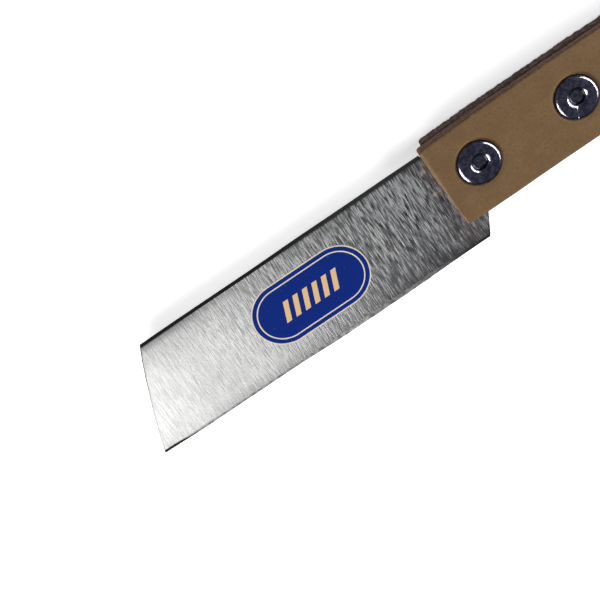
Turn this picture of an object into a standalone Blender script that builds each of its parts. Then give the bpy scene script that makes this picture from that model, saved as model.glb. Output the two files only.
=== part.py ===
"""A putty hacking knife: a wedge-ground steel blade and tang between two leather scales, held by tubular rivets.

The knife lies on its side. +X runs from the toe of the blade to the butt of the handle, +Y points to the
back of the blade, and +Z is up. Inside the script, x = 0 is the middle of the near scale's front end, y = 0
is the line of rivets and z = 0 is the surface that the rivet heads stand on.
"""

import math

import bmesh
import bpy
from mathutils import Matrix, Vector

MM = 0.001

# Blade
EDGE_LENGTH = 114.3 * MM          # cutting edge, from toe to heel
BLADE_WIDTH = 33.2 * MM           # from the back to the cutting edge
TOE_SLANT = math.radians(20.5)    # the front end leans, so that the toe leads
TOE_BOW = 0.6 * MM                # how far the front end bulges from a straight line
HEEL_SLANT = math.radians(25.0)   # lean of the shoulder between heel and tang
HEEL_OVERLAP = 4.2 * MM           # how far the scales cover the cutting edge at the heel
TIP_BACK_THICKNESS = 2.6 * MM     # the back thins from the tang to the front end
TIP_EDGE_THICKNESS = 0.8 * MM     # before honing
EDGE_LAND = 0.3 * MM              # flat that honing leaves along the cutting edge
HONE_ANGLE = math.radians(25.0)   # of each honed side, from the middle plane

# Tang
TANG_WIDTH = 18.7 * MM
TANG_THICKNESS = 3.2 * MM
BACK_STEP = 0.5 * MM              # the tang's upper edge lies this much below the blade's back
TANG_COVER = 6.0 * MM             # leather beyond the end of the tang
TANG_END_RADIUS = 5.0 * MM
SHOULDER_RADIUS = 3.0 * MM

# Leather scales
SCALE_WIDTH = 27.8 * MM
SCALE_THICKNESS = 4.4 * MM        # at the seam, beside the recess for the tang
SCALE_ROUND = 1.0 * MM            # rounding of the outer rim
SCALE_FRONT_RADIUS = 0.8 * MM
SCALE_FRONT_LEAN = 0.6 * MM       # the front end is cut a little askew, so that its upper corner leads
SCALE_FRONT_FALL = 0.6 * MM       # the upper edge is pared down towards the front
SCALE_FALL_LENGTH = 18.0 * MM
SCALE_FALL_RADIUS = 60.0 * MM     # where that slope meets the straight edge
SCALE_BUTT_RADIUS = 8.0 * MM
BUTT_MARGIN = 17.0 * MM           # from the last rivet to the butt
NEAR_SCALE_DROP = 0.45 * MM       # of the scale's middle below the rivets
FAR_SCALE_DROP = 0.45 * MM
FAR_SCALE_SETBACK = 1.8 * MM      # the far scale sits this much nearer the butt

# Rivets
RIVET_NAMES = ("front_rivet", "middle_rivet", "rear_rivet")
RIVET_PITCH = 33.5 * MM
RIVET_FRONT_MARGIN = 12.7 * MM    # from the front end of the near scale
SHANK_DIAMETER = 7.0 * MM
TUBE_BORE = 4.5 * MM
TUBE_DEPTH = 1.6 * MM             # from the top of the clinch to the floor of the bore
CLINCH_DIAMETER = 13.7 * MM
CLINCH_HEIGHT = 1.3 * MM
CLINCH_RIM_RADIUS = 1.1 * MM
CLINCH_MOUTH_RADIUS = 0.95 * MM
HEAD_DIAMETER = 13.0 * MM
HEAD_HEIGHT = 1.5 * MM
HEAD_RIM = 0.45 * MM              # straight side below the dome of the head
CROWN_DIAMETER = 5.0 * MM         # flat that the setting anvil leaves on the head
RIVET_SINK = 0.5 * MM             # how far clinch and head are drawn into the leather
SINK_LIP = 0.5 * MM               # width of the sloping lip of that dent

# Fits
SEAT_GAP = 0.3 * MM               # between a rivet and the leather, and in front of the scales
TANG_GAP = 0.3 * MM               # round the tang, in the recess of the scales
SEAM_GAP = 0.3 * MM               # between the two scales, along the seam
SHANK_GAP = 0.3 * MM              # round the shank, in steel and leather
DENT_GAP = 0.3 * MM               # round the clinch and the head, in the leather

# Smoothness
ROUND_STEPS = 40                  # sides of a rivet
CORNER_STEPS = 6                  # steps round an outline's corner
BOW_STEPS = 6                     # steps along the bowed front end
DOME_STEPS = 5
LIP_STEPS = 4                     # steps round the clinch's rim and mouth
CUT_MARGIN = 5.0 * MM             # how far a cutter runs past what it cuts
CUTTER_REACH = 300.0 * MM         # size of a grinding cutter

# Heights, from the heads that the knife lies on to the tops of the clinches
FAR_FACE = HEAD_HEIGHT + SEAT_GAP - RIVET_SINK
MIDDLE = FAR_FACE + SCALE_THICKNESS + SEAM_GAP / 2
NEAR_SEAM = MIDDLE + SEAM_GAP / 2
NEAR_FACE = NEAR_SEAM + SCALE_THICKNESS
CLINCH_SEAT = NEAR_FACE - RIVET_SINK + SEAT_GAP
CLINCH_TOP = CLINCH_SEAT + CLINCH_HEIGHT

# Places along and across the knife
RIVET_XS = [RIVET_FRONT_MARGIN + index * RIVET_PITCH for index in range(len(RIVET_NAMES))]
SCALE_LENGTH = RIVET_XS[-1] + BUTT_MARGIN
BACK_Y = TANG_WIDTH / 2 + BACK_STEP
EDGE_Y = BACK_Y - BLADE_WIDTH
TOE_X = HEEL_OVERLAP - EDGE_LENGTH
TANG_END_X = SCALE_LENGTH - TANG_COVER

# The knife's own box, which places the origin under its middle
LOW_X = TOE_X
HIGH_X = max(SCALE_LENGTH, SCALE_LENGTH + FAR_SCALE_SETBACK)
LOW_Y = min(EDGE_Y, -FAR_SCALE_DROP - SCALE_WIDTH / 2, -NEAR_SCALE_DROP - SCALE_WIDTH / 2)
HIGH_Y = max(BACK_Y, SCALE_WIDTH / 2 - min(NEAR_SCALE_DROP, FAR_SCALE_DROP))


def clear_scene():
    for obj in list(bpy.data.objects):
        bpy.data.objects.remove(obj)


def new_collection(name):
    collection = bpy.data.collections.new(name)
    bpy.context.scene.collection.children.link(collection)
    return collection


def new_material(name, colour, roughness, metallic):
    material = bpy.data.materials.new(name)
    material.use_nodes = True
    shader = material.node_tree.nodes["Principled BSDF"]
    shader.inputs["Base Color"].default_value = (*colour, 1.0)
    shader.inputs["Roughness"].default_value = roughness
    shader.inputs["Metallic"].default_value = metallic
    return material


def new_object(name, mesh, collection, datum):
    obj = bpy.data.objects.new(name, mesh)
    collection.objects.link(obj)
    obj.parent = datum
    return obj


def as_cutter(obj):
    obj.hide_render = True
    obj.display_type = "WIRE"
    return obj


def cut(obj, cutter):
    modifier = obj.modifiers.new("cut_" + cutter.name, "BOOLEAN")
    modifier.operation = "DIFFERENCE"
    modifier.object = cutter


def arc(centre, radius, start, end, steps):
    """Points on an arc, both ends included. Angles are in radians."""
    angles = [start + (end - start) * step / steps for step in range(steps + 1)]
    return [(centre[0] + radius * math.cos(a), centre[1] + radius * math.sin(a)) for a in angles]


def rounded(before, corner, after, radius, steps=CORNER_STEPS):
    """Points that round an outline's corner by an arc that touches both of its sides."""
    corner = Vector(corner)
    first = (Vector(before) - corner).normalized()
    second = (Vector(after) - corner).normalized()
    half = first.angle(second) / 2
    centre = corner + (first + second).normalized() * radius / math.sin(half)
    start = corner + first * radius / math.tan(half) - centre
    end = corner + second * radius / math.tan(half) - centre
    sweep = start.angle_signed(end)
    heading = math.atan2(start.y, start.x)
    return arc(centre, radius, heading, heading - sweep, steps)


def bowed(start, end, bow, steps):
    """Points between two corners on an arc that bulges by bow to the right of the way from start to end."""
    start, end = Vector(start), Vector(end)
    chord = end - start
    side = Vector((chord.y, -chord.x)).normalized()
    shares = [step / steps for step in range(1, steps)]
    return [start + chord * share + side * (4 * bow * share * (1 - share)) for share in shares]


def plate_mesh(name, outline, thickness):
    """A flat plate of that outline, centred on z = 0, with its caps welded to its sides."""
    curve = bpy.data.curves.new(name + "_outline", "CURVE")
    curve.dimensions = "2D"
    curve.fill_mode = "BOTH"
    curve.extrude = thickness / 2
    spline = curve.splines.new("POLY")
    spline.points.add(len(outline) - 1)
    for point, place in zip(spline.points, outline):
        point.co = (place[0], place[1], 0.0, 1.0)
    spline.use_cyclic_u = True
    drawn = bpy.data.objects.new(name + "_outline", curve)
    bpy.context.scene.collection.objects.link(drawn)
    graph = bpy.context.evaluated_depsgraph_get()
    mesh = bpy.data.meshes.new_from_object(drawn.evaluated_get(graph))
    bpy.data.objects.remove(drawn)
    shape = bmesh.new()
    shape.from_mesh(mesh)
    bmesh.ops.remove_doubles(shape, verts=shape.verts, dist=0.001 * MM)
    bmesh.ops.recalc_face_normals(shape, faces=shape.faces)
    shape.to_mesh(mesh)
    shape.free()
    mesh.name = name
    return mesh


def turned_object(name, profile, collection, datum):
    """A solid of revolution about its own Z axis. The profile lists (radius, height) from top to bottom."""
    mesh = bpy.data.meshes.new(name)
    shape = bmesh.new()
    points = [shape.verts.new((radius, 0.0, height)) for radius, height in profile]
    for first, second in zip(points, points[1:]):
        shape.edges.new((first, second))
    shape.to_mesh(mesh)
    shape.free()
    obj = new_object(name, mesh, collection, datum)
    screw = obj.modifiers.new("turn", "SCREW")
    screw.steps = ROUND_STEPS
    screw.render_steps = ROUND_STEPS
    screw.use_merge_vertices = True
    screw.merge_threshold = 0.001 * MM
    return obj


def front_end(y, grow=0.0):
    """Point of the blade's front end at height y, with the outline grown outward by grow."""
    return (TOE_X + (y - EDGE_Y) * math.tan(TOE_SLANT) - grow / math.cos(TOE_SLANT), y)


def heel_side(y, grow=0.0):
    """Point of the slanted shoulder between heel and tang at height y, or of that line carried on."""
    return (HEEL_OVERLAP + (y - EDGE_Y) * math.tan(HEEL_SLANT) + grow / math.cos(HEEL_SLANT), y)


def blade_outline(grow):
    """Round the blade and tang, from the toe along the cutting edge, grown outward by grow."""
    edge, back = EDGE_Y - grow, BACK_Y + grow
    low, high, end = -TANG_WIDTH / 2 - grow, TANG_WIDTH / 2 + grow, TANG_END_X + grow
    toe, heel, tip = front_end(edge, grow), heel_side(edge, grow), front_end(back, grow)
    shoulder, low_end, high_end = heel_side(low, grow), (end, low), (end, high)
    step_x = grow - SEAT_GAP - SCALE_FRONT_LEAN / 2
    return [
        toe,
        heel,
        *rounded(heel, shoulder, low_end, SHOULDER_RADIUS - grow),
        *rounded(shoulder, low_end, high_end, TANG_END_RADIUS + grow),
        *rounded(low_end, high_end, (step_x, high), TANG_END_RADIUS + grow),
        (step_x, high),
        (step_x, back),
        tip,
        *bowed(tip, toe, TOE_BOW, BOW_STEPS),
    ]


def grinder(name, on_plane, outward, away, collection, datum):
    """A block that grinds off all that lies outward of a plane, and ends at on_plane with its face along away."""
    across = away - outward * away.dot(outward)
    across.normalize()
    along = outward.cross(across)
    turn = Matrix((across, along, outward)).transposed().to_4x4()
    bpy.ops.mesh.primitive_cube_add(size=CUTTER_REACH)
    block = bpy.context.object
    block.name = name
    block.data.transform(Matrix.Translation((CUTTER_REACH / 2, 0.0, CUTTER_REACH / 2)))
    block.data.transform(Matrix.Translation(on_plane) @ turn)
    for home in list(block.users_collection):
        home.objects.unlink(block)
    collection.objects.link(block)
    block.parent = datum
    return as_cutter(block)


def taper_cutter(name, side, grow, collection, datum):
    """The cutter that grinds one side of the blade to its long taper. Side is 1 or -1."""
    plunge, tip, toe = heel_side(BACK_Y), front_end(BACK_Y), front_end(EDGE_Y)
    heel_back = Vector((*plunge, MIDDLE + side * TANG_THICKNESS / 2))
    tip_back = Vector((*tip, MIDDLE + side * TIP_BACK_THICKNESS / 2))
    tip_edge = Vector((*toe, MIDDLE + side * TIP_EDGE_THICKNESS / 2))
    outward = (tip_back - heel_back).cross(tip_edge - heel_back).normalized()
    if outward.z * side < 0:
        outward.negate()
    from_heel = Vector((-math.cos(HEEL_SLANT), math.sin(HEEL_SLANT), 0.0))
    start = heel_back + (outward + from_heel) * grow
    return grinder(f"{name}_taper_{side}", start, outward, from_heel, collection, datum)


def hone(mesh, side, grow):
    """Slices one side of the plate off along the cutting edge, and closes the slice with a flat face."""
    outward = Vector((0.0, -math.sin(HONE_ANGLE), side * math.cos(HONE_ANGLE)))
    land = Vector((TOE_X, EDGE_Y, side * EDGE_LAND / 2)) + outward * grow
    shape = bmesh.new()
    shape.from_mesh(mesh)
    everything = [*shape.verts, *shape.edges, *shape.faces]
    sliced = bmesh.ops.bisect_plane(shape, geom=everything, plane_co=land, plane_no=outward, clear_outer=True)
    rim = [item for item in sliced["geom_cut"] if isinstance(item, bmesh.types.BMEdge)]
    bmesh.ops.contextual_create(shape, geom=rim)
    bmesh.ops.recalc_face_normals(shape, faces=shape.faces)
    shape.to_mesh(mesh)
    shape.free()


def make_blade(name, grow, collection, cutters, datum):
    """The blade and tang in one piece, or the room that they take when grown by a clearance."""
    mesh = plate_mesh(name, blade_outline(grow), TANG_THICKNESS + 2 * grow)
    for side in (1, -1):
        hone(mesh, side, grow)
    mesh.transform(Matrix.Translation((0.0, 0.0, MIDDLE)))
    blade = new_object(name, mesh, collection, datum)
    for side in (1, -1):
        cut(blade, taper_cutter(name, side, grow, cutters, datum))
    return blade


def scale_outline(setback, drop):
    """Round a leather scale, which is square at the front, rounded at the butt and pared at the upper front."""
    low, high = -drop - SCALE_WIDTH / 2, -drop + SCALE_WIDTH / 2
    front, butt = setback, setback + SCALE_LENGTH
    heel_corner = (front + SCALE_FRONT_LEAN / 2, low)
    nose = (front - SCALE_FRONT_LEAN / 2, high - SCALE_FRONT_FALL)
    knee = (front + SCALE_FALL_LENGTH, high)
    corners = [heel_corner, (butt, low), (butt, high), knee, nose]
    radii = [SCALE_FRONT_RADIUS, SCALE_BUTT_RADIUS, SCALE_BUTT_RADIUS, SCALE_FALL_RADIUS, SCALE_FRONT_RADIUS]
    outline = []
    for index, corner in enumerate(corners):
        before, after = corners[index - 1], corners[(index + 1) % len(corners)]
        outline += rounded(before, corner, after, radii[index])
    return outline


def make_scale(name, outer_side, setback, drop, leather, rooms, collection, datum):
    """A leather scale with a rounded outer rim, hollowed by rooms. Outer side is 1 for the near scale, or -1."""
    mesh = plate_mesh(name, scale_outline(setback, drop), SCALE_THICKNESS)
    shape = bmesh.new()
    shape.from_mesh(mesh)
    weight = shape.edges.layers.float.new("bevel_weight_edge")
    for edge in shape.edges:
        is_outer = all(vert.co.z * outer_side > 0 for vert in edge.verts)
        is_rim = len({face.normal.z * outer_side > 0.5 for face in edge.link_faces}) == 2
        edge[weight] = 1.0 if is_outer and is_rim else 0.0
    shape.to_mesh(mesh)
    shape.free()
    bottom = NEAR_SEAM if outer_side > 0 else FAR_FACE
    mesh.transform(Matrix.Translation((0.0, 0.0, bottom + SCALE_THICKNESS / 2)))
    mesh.materials.append(leather)
    scale = new_object(name, mesh, collection, datum)
    rim = scale.modifiers.new("rim", "BEVEL")
    rim.limit_method = "WEIGHT"
    rim.width = SCALE_ROUND
    rim.segments = LIP_STEPS
    for room in rooms:
        cut(scale, room)


def clinch_profile():
    """The rolled end of the tube, from the floor of its bore over the mouth and down to the shank."""
    bore, clinch = TUBE_BORE / 2, CLINCH_DIAMETER / 2
    mouth = (bore + CLINCH_MOUTH_RADIUS, CLINCH_TOP - CLINCH_MOUTH_RADIUS)
    rim = (clinch - CLINCH_RIM_RADIUS, CLINCH_TOP - CLINCH_RIM_RADIUS)
    return [
        (0.0, CLINCH_TOP - TUBE_DEPTH),
        (bore, CLINCH_TOP - TUBE_DEPTH),
        *arc(mouth, CLINCH_MOUTH_RADIUS, math.pi, math.pi / 2, LIP_STEPS),
        *arc(rim, CLINCH_RIM_RADIUS, math.pi / 2, 0.0, LIP_STEPS),
        (clinch, CLINCH_SEAT),
        (SHANK_DIAMETER / 2, CLINCH_SEAT),
    ]


def head_profile():
    """The factory head, from the shank out to its rim and down its dome to the flat crown."""
    head, crown = HEAD_DIAMETER / 2, CROWN_DIAMETER / 2
    dome_height = HEAD_HEIGHT - HEAD_RIM
    dome = []
    for step in range(DOME_STEPS + 1):
        turn = math.pi / 2 * step / DOME_STEPS
        dome.append((crown + (head - crown) * math.cos(turn), dome_height * (1 - math.sin(turn))))
    return [(SHANK_DIAMETER / 2, HEAD_HEIGHT), (head, HEAD_HEIGHT), *dome, (0.0, 0.0)]


def make_rivet(name, x, nickel, collection, datum):
    rivet = turned_object(name, clinch_profile() + head_profile(), collection, datum)
    rivet.location.x = x
    rivet.data.materials.append(nickel)


def make_rivet_room(name, x, collection, datum):
    """The room that a rivet takes: the hole for its shank and the dents that it draws into the leather."""
    hole = SHANK_DIAMETER / 2 + SHANK_GAP
    near_dent = CLINCH_DIAMETER / 2 + DENT_GAP
    far_dent = HEAD_DIAMETER / 2 + DENT_GAP
    near_floor, far_floor = NEAR_FACE - RIVET_SINK, FAR_FACE + RIVET_SINK
    profile = [
        (0.0, CLINCH_TOP + CUT_MARGIN),
        (near_dent + SINK_LIP, CLINCH_TOP + CUT_MARGIN),
        (near_dent + SINK_LIP, NEAR_FACE),
        (near_dent, near_floor),
        (hole, near_floor),
        (hole, far_floor),
        (far_dent, far_floor),
        (far_dent + SINK_LIP, FAR_FACE),
        (far_dent + SINK_LIP, -CUT_MARGIN),
        (0.0, -CUT_MARGIN),
    ]
    cutter = turned_object(name, profile, collection, datum)
    cutter.location.x = x
    return as_cutter(cutter)


def shade(collection):
    """Round faces shade smooth, and edges sharper than 30 degrees stay sharp."""
    for obj in collection.objects:
        if obj.type == "MESH":
            obj.data.shade_smooth()
            obj.data.set_sharp_from_angle(angle=math.radians(30.0))


def main():
    clear_scene()
    knife = new_collection("hacking_knife")
    cutters = new_collection("hacking_knife_cutters")
    datum = bpy.data.objects.new("knife_datum", None)
    datum.location = (-(LOW_X + HIGH_X) / 2, -(LOW_Y + HIGH_Y) / 2, 0.0)
    knife.objects.link(datum)

    steel = new_material("ground_steel", (0.56, 0.56, 0.55), 0.35, 1.0)
    leather = new_material("tan_leather", (0.17, 0.107, 0.052), 0.6, 0.0)
    nickel = new_material("nickel_plate", (0.62, 0.62, 0.66), 0.12, 1.0)

    places = list(zip(RIVET_NAMES, RIVET_XS))
    rivet_rooms = [make_rivet_room(f"{name}_room", x, cutters, datum) for name, x in places]
    blade_room = as_cutter(make_blade("blade_room", TANG_GAP, cutters, cutters, datum))
    blade = make_blade("blade", 0.0, knife, cutters, datum)
    blade.data.materials.append(steel)
    for room in rivet_rooms:
        cut(blade, room)
    rooms = [blade_room, *rivet_rooms]
    make_scale("near_scale", 1, 0.0, NEAR_SCALE_DROP, leather, rooms, knife, datum)
    make_scale("far_scale", -1, FAR_SCALE_SETBACK, FAR_SCALE_DROP, leather, rooms, knife, datum)
    for name, x in places:
        make_rivet(name, x, nickel, knife, datum)
    shade(knife)


main()
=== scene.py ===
import math

import bmesh
import bpy
from mathutils import Matrix, Vector, noise


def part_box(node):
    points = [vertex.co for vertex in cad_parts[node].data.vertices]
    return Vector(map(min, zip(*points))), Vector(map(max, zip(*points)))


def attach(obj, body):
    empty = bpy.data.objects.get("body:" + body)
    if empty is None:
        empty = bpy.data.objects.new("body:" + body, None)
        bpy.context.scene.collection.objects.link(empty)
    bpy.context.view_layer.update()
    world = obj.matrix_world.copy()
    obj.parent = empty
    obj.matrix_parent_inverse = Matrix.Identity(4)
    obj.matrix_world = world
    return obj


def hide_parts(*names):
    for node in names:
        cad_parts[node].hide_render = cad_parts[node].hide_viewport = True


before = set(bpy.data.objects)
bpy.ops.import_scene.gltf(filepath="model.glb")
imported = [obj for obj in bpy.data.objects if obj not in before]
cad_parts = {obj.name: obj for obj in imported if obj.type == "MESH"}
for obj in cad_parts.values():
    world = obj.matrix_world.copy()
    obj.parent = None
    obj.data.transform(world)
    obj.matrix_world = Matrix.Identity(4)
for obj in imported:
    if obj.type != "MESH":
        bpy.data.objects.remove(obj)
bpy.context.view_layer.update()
mm = 0.001
mergeGap = 0.001 * mm
scene = bpy.context.scene


# where the pieces lie, read from the frame
bladeLow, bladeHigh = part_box("blade")
nearLow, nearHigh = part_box("near_scale")
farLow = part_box("far_scale")[0]
rivetNames = ["front_rivet", "middle_rivet", "rear_rivet"]
rivetCentres = [(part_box(name)[0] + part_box(name)[1]) / 2 for name in rivetNames]
middleZ = (bladeLow.z + bladeHigh.z) / 2
gripFront = nearLow.x


# a socket that takes part in sums: each sum adds a Math node
class Wire:
    def __init__(self, tree, socket):
        self.tree = tree
        self.socket = socket

    def math(self, operation, first, second):
        node = self.tree.nodes.new("ShaderNodeMath")
        node.operation = operation
        for slot, value in zip(node.inputs, (first, second)):
            if isinstance(value, Wire):
                self.tree.links.new(value.socket, slot)
            else:
                slot.default_value = value
        return Wire(self.tree, node.outputs[0])

    def __add__(self, other):
        return self.math("ADD", self, other)

    def __sub__(self, other):
        return self.math("SUBTRACT", self, other)

    def __rsub__(self, other):
        return self.math("SUBTRACT", other, self)

    def __mul__(self, other):
        return self.math("MULTIPLY", self, other)

    def __truediv__(self, other):
        return self.math("DIVIDE", self, other)

    def __rtruediv__(self, other):
        return self.math("DIVIDE", other, self)

    __radd__ = __add__
    __rmul__ = __mul__


# the nodes of a material or of the world, and the one way to add to them
class NodeKit:
    def __init__(self, tree):
        self.tree = tree
        self.tree.nodes.clear()

    def add(self, kind, settings=None, inputs=None, output=0):
        node = self.tree.nodes.new("ShaderNode" + kind)
        for name, value in (settings or {}).items():
            setattr(node, name, value)
        for name, value in (inputs or {}).items():
            slot = node.inputs[name]
            if isinstance(value, Wire):
                self.tree.links.new(value.socket, slot)
            elif isinstance(value, tuple) and slot.type == "RGBA":
                slot.default_value = (*value, 1.0)
            else:
                slot.default_value = value
        return Wire(self.tree, node.outputs[output]) if node.outputs else None

    def place(self, scale=(1, 1, 1), turn=0.0, shift=(0, 0, 0)):
        spot = self.add("TexCoord", output="Object")
        inputs = {"Vector": spot, "Location": shift, "Rotation": (0, 0, turn), "Scale": scale}
        return self.add("Mapping", inputs=inputs)

    def noise(self, where, scale=1.0, detail=3.0, rough=0.5):
        inputs = {"Vector": where, "Scale": scale, "Detail": detail, "Roughness": rough}
        return self.add("TexNoise", inputs=inputs, output="Fac")

    def streaks(self, turn, scale, shift, lean=1.0, detail=0.0):
        return self.noise(self.place(scale, turn * lean, shift), detail=detail)

    def band(self, value, start, end, low=0.0, high=1.0):       # eased from low at start to high at end
        inputs = {"Value": value, "From Min": start, "From Max": end, "To Min": low, "To Max": high}
        return self.add("MapRange", {"interpolation_type": "SMOOTHSTEP"}, inputs)

    def mix(self, share, first, second):       # sockets 0, 6, 7 and 2 are the ones for colours
        return self.add("Mix", {"data_type": "RGBA"}, {0: share, 6: first, 7: second}, 2)

    def bump(self, height, depth, strength=1.0, under=None):
        inputs = {"Height": height, "Distance": depth, "Strength": strength}
        if under:
            inputs["Normal"] = under
        return self.add("Bump", inputs=inputs)

    def split(self, vector):
        return [self.add("SeparateXYZ", inputs={"Vector": vector}, output=axis) for axis in "XYZ"]

    def axes(self):
        return self.split(self.add("TexCoord", output="Object"))

    def facing(self):
        return self.split(self.add("NewGeometry", output="Normal"))

    def reach(self, x, y):       # distance from an upright line, in mm
        spots = {0: self.place(scale=(1, 1, 0)), 1: (x, y, 0.0)}
        return self.add("VectorMath", {"operation": "DISTANCE"}, spots, "Value") / mm


class Finish(NodeKit):
    def __init__(self, name):
        self.material = bpy.data.materials.new(name)
        self.material.use_nodes = True
        super().__init__(self.material.node_tree)

    def shader(self, **inputs):
        named = {name.replace("_", " "): value for name, value in inputs.items()}
        surface = self.add("BsdfPrincipled", inputs=named)
        self.add("OutputMaterial", inputs={"Surface": surface})
        return self.material


# share of the way from start to end, eased or straight
def ease(value, start, end):
    share = slide(value, start, end)
    return share * share * (3 - 2 * share)


def slide(value, start, end):
    return min(1.0, max(0.0, (value - start) / (end - start)))


# a hump of height 1 that fades on both sides
def hump(value, middle, width):
    return math.exp(-((value - middle) / width) ** 2)


# camera, fitted to the photograph's view
view = {
    "tilt": math.radians(23.9),   # of the view towards the blade's back, from straight above
    "swing": math.radians(1.6),   # towards the butt
    "roll": math.radians(33.87),  # slope of the knife in the picture
    "lens": 150.0,
    "nearest": 10 * mm,
    "distance": 726.2 * mm,
    "aimBeforeGrip": 51.88 * mm,  # the picture's middle, from the front end of the grip
    "aimBelowRivets": 6.43 * mm,
}


def makeCamera():
    back = Vector((math.tan(view["swing"]), math.tan(view["tilt"]), 1.0)).normalized()
    along = Vector((1.0, 0.0, 0.0))
    along = (along - back * along.dot(back)).normalized()
    across = back.cross(along)
    right = along * math.cos(view["roll"]) - across * math.sin(view["roll"])
    up = along * math.sin(view["roll"]) + across * math.cos(view["roll"])
    aim = Vector((gripFront - view["aimBeforeGrip"], rivetCentres[0].y - view["aimBelowRivets"], middleZ))
    lens = bpy.data.cameras.new("viewCamera")
    lens.lens = view["lens"]
    lens.clip_start = view["nearest"]
    camera = bpy.data.objects.new("viewCamera", lens)
    turn = Matrix((right, up, back)).transposed().to_4x4()
    camera.matrix_world = Matrix.Translation(aim + back * view["distance"]) @ turn
    scene.collection.objects.link(camera)
    scene.camera = camera


# light: a soft box over the toe and a long low one at each end of the knife, in a dim room with a pale horizon
lights = {       # places, aims and sizes in mm
    "toeBox": {"place": (-120, -150, 280), "aim": (-60, -5, 5), "size": (120, 60), "watts": 0.056},
    "toeSide": {"place": (-365, -220, 275), "aim": (-20, 0, 5), "size": (370, 200), "watts": 2.1},
    "buttSide": {"place": (385, -75, 356), "aim": (20, 0, 5), "size": (470, 200), "watts": 2.1},
}
studio = {
    "overhead": (0.045, 0.047, 0.068),
    "horizon": (0.36, 0.36, 0.37),
    "horizonHeight": 0.55,      # sine of the elevation at which the pale surround ends
    "floorHalf": 6.0,
    "floorShade": (0.86, 0.86, 0.86),
    "floorGlow": 0.62,          # share of the white that the floor keeps in the shadow
    "floorGap": 0.05 * mm,
}


def makeLights():
    for name, box in lights.items():
        lamp = bpy.data.lights.new(name, "AREA")
        lamp.shape = "RECTANGLE"
        lamp.size, lamp.size_y = box["size"][0] * mm, box["size"][1] * mm
        lamp.energy = box["watts"]
        holder = bpy.data.objects.new(name, lamp)
        place, aim = Vector(box["place"]) * mm, Vector(box["aim"]) * mm
        turn = (place - aim).to_track_quat("Z", "Y").to_matrix().to_4x4()
        holder.matrix_world = Matrix.Translation(place) @ turn
        scene.collection.objects.link(holder)


def makeSurround():
    world = bpy.data.worlds.new("studio")
    world.use_nodes = True
    sky = NodeKit(world.node_tree)
    upward = sky.split(sky.add("TexCoord", output="Generated"))[2]
    shade = sky.mix(sky.band(upward, 0.0, studio["horizonHeight"]), studio["horizon"], studio["overhead"])
    sky.add("OutputWorld", inputs={"Surface": sky.add("Background", inputs={"Color": shade})})
    scene.world = world


def makeFloor():
    shape = bmesh.new()
    bmesh.ops.create_grid(shape, x_segments=1, y_segments=1, size=studio["floorHalf"])
    bmesh.ops.translate(shape, verts=shape.verts, vec=(0, 0, -studio["floorGap"]))
    finish = Finish("paleFloor")
    seen = finish.add("LightPath", output="Is Camera Ray") + finish.add("LightPath", output="Is Glossy Ray")
    seen = seen + finish.add("LightPath", output="Is Transmission Ray")
    lit = finish.add("BsdfDiffuse", inputs={"Color": studio["floorShade"]})
    glow = finish.add("Emission", inputs={"Color": (1.0, 1.0, 1.0), "Strength": seen * studio["floorGlow"]})
    both = finish.add("AddShader", inputs={0: lit, 1: glow})
    finish.add("OutputMaterial", inputs={"Surface": both})
    mesh = bpy.data.meshes.new("floor")
    shape.to_mesh(mesh)
    shape.free()
    mesh.materials.append(finish.material)
    floor = bpy.data.objects.new("floor", mesh)
    scene.collection.objects.link(floor)


# merged copy of a CAD node, to be worked on
def nodeShape(nodeName):
    shape = bmesh.new()
    shape.from_mesh(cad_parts[nodeName].data)
    bmesh.ops.remove_doubles(shape, verts=shape.verts, dist=mergeGap)
    return shape


def makePiece(shape, pieceName, material, slotName, *nodeNames):
    mesh = bpy.data.meshes.new(pieceName)
    shape.to_mesh(mesh)
    shape.free()
    mesh.shade_smooth()
    mesh.materials.append(material)
    piece = bpy.data.objects.new(pieceName, mesh)
    scene.collection.objects.link(piece)
    if nodeNames:
        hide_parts(*nodeNames)
    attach(piece, "root")
    return piece


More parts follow.
